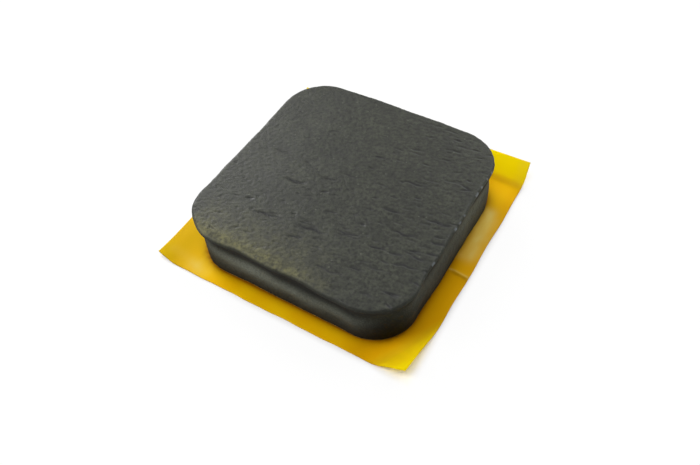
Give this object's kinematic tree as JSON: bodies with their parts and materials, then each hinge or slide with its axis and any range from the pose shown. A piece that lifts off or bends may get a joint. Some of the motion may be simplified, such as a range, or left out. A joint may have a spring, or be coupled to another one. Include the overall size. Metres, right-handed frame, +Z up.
{
  "type": "foam pad",
  "caption": "Small square self-adhesive foam pad with round corners and a dished cut wall, on a wider sheet of yellow release liner that curls up at its back edge and corners.",
  "frame": {"origin": "on the underside of the release liner, straight below the middle of the foam pad", "axes": "+Z up through the pad, out of its skin; X and Y along the pad's straight sides, +Y towards the liner's curled back edge"},
  "size_m": [0.0302, 0.0297, 0.0061],
  "materials": {
    "foam": "matte closed-cell foam skin with fine pits and short creases",
    "adhesive": "clear amber pressure-sensitive adhesive",
    "liner": "glossy yellow silicone-coated release sheet, slightly see-through"
  },
  "bodies": {
    "root": {"foam_pad": "foam", "adhesive_film": "adhesive", "release_liner": "liner"}
  },
  "joints": []
}
